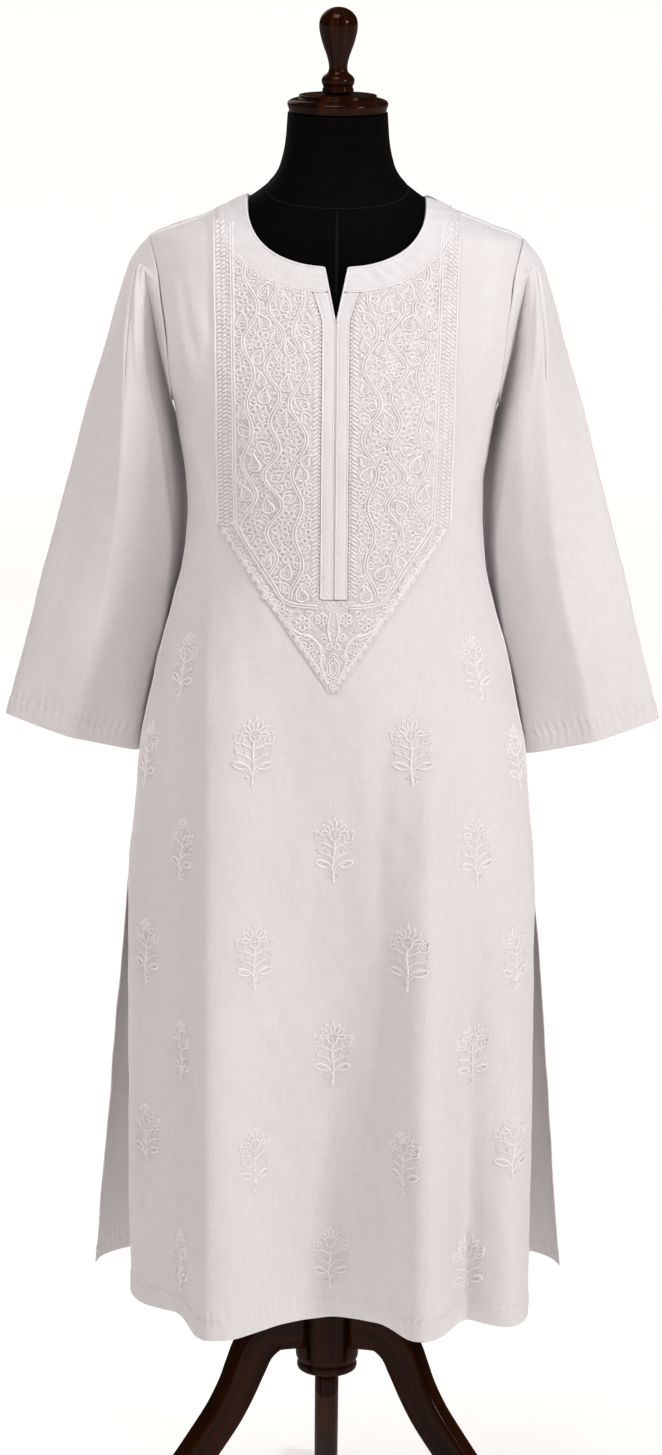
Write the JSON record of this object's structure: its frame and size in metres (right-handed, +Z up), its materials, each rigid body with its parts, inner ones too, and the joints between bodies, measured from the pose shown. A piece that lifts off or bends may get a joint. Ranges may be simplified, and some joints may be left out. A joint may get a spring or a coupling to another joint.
{
  "type": "kurta tunic on a limbless dress form",
  "caption": "White embroidered kurta tunic with three-quarter bell sleeves and side slits, hanging open at neck, cuffs and hem on a black dress form with a dark wooden tripod stand.",
  "frame": {"origin": "on the surface that the three feet stand on, under the middle of the whole object's box; the form's vertical axis is 75 mm in front of it", "axes": "+Z up; -Y is the garment's front; +X is the wearer's left, the right side of a picture taken from the front"},
  "size_m": [0.6534, 0.4992, 1.6],
  "materials": {
    "kurta_cotton": "plain-woven off-white cotton with raised white thread sprigs, soft and matte",
    "trim_cotton": "white cotton bands and a yoke covered in dense raised white thread embroidery",
    "form_cover": "stretched black jersey, matte",
    "dark_wood": "turned and carved wood, dark mahogany stain, glossy varnish"
  },
  "bodies": {
    "root": {"front_panel": "kurta_cotton", "back_panel": "kurta_cotton", "sleeve_left": "kurta_cotton", "sleeve_right": "kurta_cotton", "yoke": "trim_cotton", "neck_band_left": "trim_cotton", "neck_band_right": "trim_cotton", "neck_band_back": "trim_cotton", "placket_left": "trim_cotton", "placket_right": "trim_cotton", "form_body": "form_cover", "neck_cap": "dark_wood", "finial": "dark_wood", "pole": "dark_wood", "hub": "dark_wood", "hub_drop": "dark_wood", "leg_front_right": "dark_wood", "leg_front_left": "dark_wood", "leg_rear": "dark_wood"}
  },
  "joints": []
}
